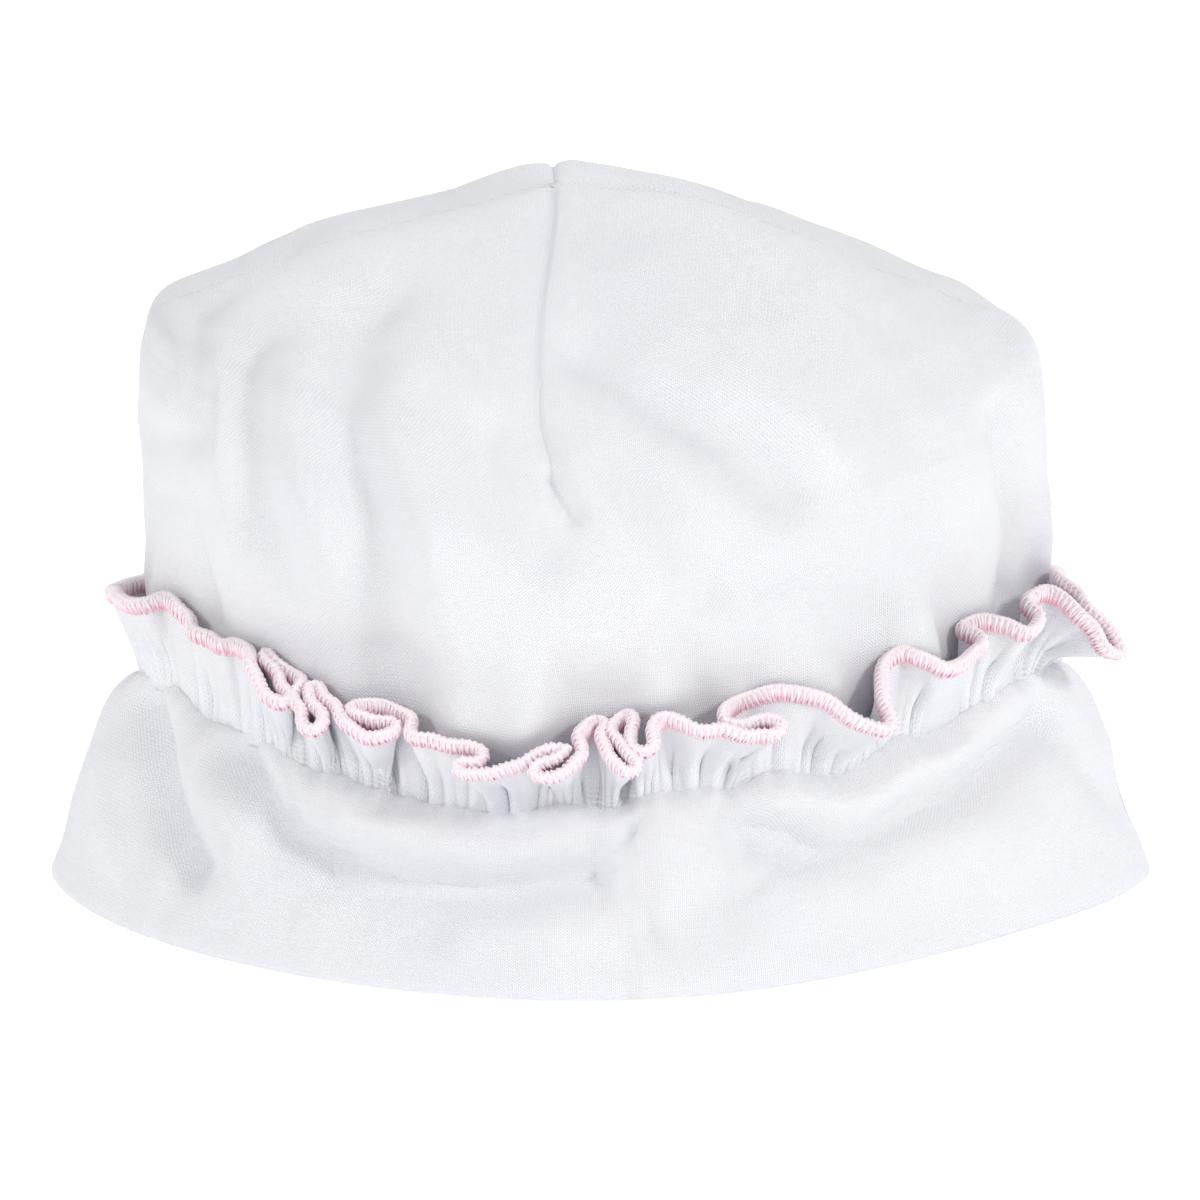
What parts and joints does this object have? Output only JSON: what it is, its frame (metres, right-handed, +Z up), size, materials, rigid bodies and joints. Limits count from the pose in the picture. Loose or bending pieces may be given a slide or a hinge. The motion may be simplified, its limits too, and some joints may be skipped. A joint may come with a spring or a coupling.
{
  "type": "ruffled hat",
  "caption": "Baby's soft knit hat with a domed darted crown, a turned-up cuff and a gathered ruffle with a stitched edge.",
  "frame": {"origin": "centre of the hat's bounding box at the level of the fold it stands on", "axes": "+Z up through the crown, the front towards -Y, +X to the right as seen from the front"},
  "size_m": [0.1652, 0.133, 0.1114],
  "materials": {
    "crown_knit": "white cotton interlock knit, matt",
    "cuff_knit": "white cotton interlock knit, two layers, matt",
    "ruffle_knit": "white cotton interlock knit, matt",
    "edging_thread": "pale pink fluffy sewing thread"
  },
  "bodies": {
    "root": {"crown": "crown_knit", "cuff": "cuff_knit", "ruffle": "ruffle_knit", "ruffle_edging": "edging_thread"}
  },
  "joints": []
}
